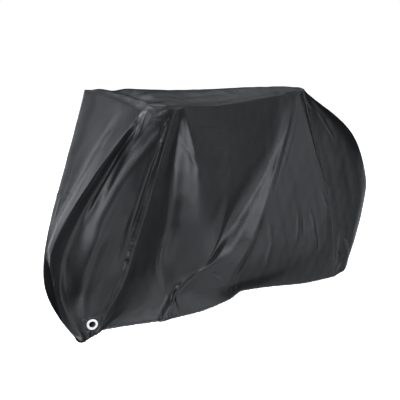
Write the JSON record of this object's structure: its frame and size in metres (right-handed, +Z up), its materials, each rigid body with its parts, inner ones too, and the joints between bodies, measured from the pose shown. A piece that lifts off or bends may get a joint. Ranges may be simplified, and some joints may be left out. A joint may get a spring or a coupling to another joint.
{
  "type": "bicycle cover",
  "caption": "Black fitted weather cover draped over a bicycle, hollow, with tension folds, a gathered hem and metal lock eyelets.",
  "frame": {"origin": "under the top of the cover, where the bicycle's saddle carries it", "axes": "+Z up, -X towards the handlebar and the front wheel, +X towards the rear, -Y the left side, which has the shown eyelet"},
  "size_m": [1.8159, 0.6602, 0.9908],
  "materials": {
    "cloth": "satin coated polyester weave",
    "patch": "satin coated polyester weave, doubled",
    "eyelet": "satin bright"
  },
  "bodies": {
    "root": {"front_panel": "cloth", "top_panel": "cloth", "left_side_panel": "cloth", "right_side_panel": "cloth", "rear_panel": "cloth", "left_eyelet_patch": "patch", "right_eyelet_patch": "patch", "left_eyelet": "eyelet", "right_eyelet": "eyelet"}
  },
  "joints": []
}
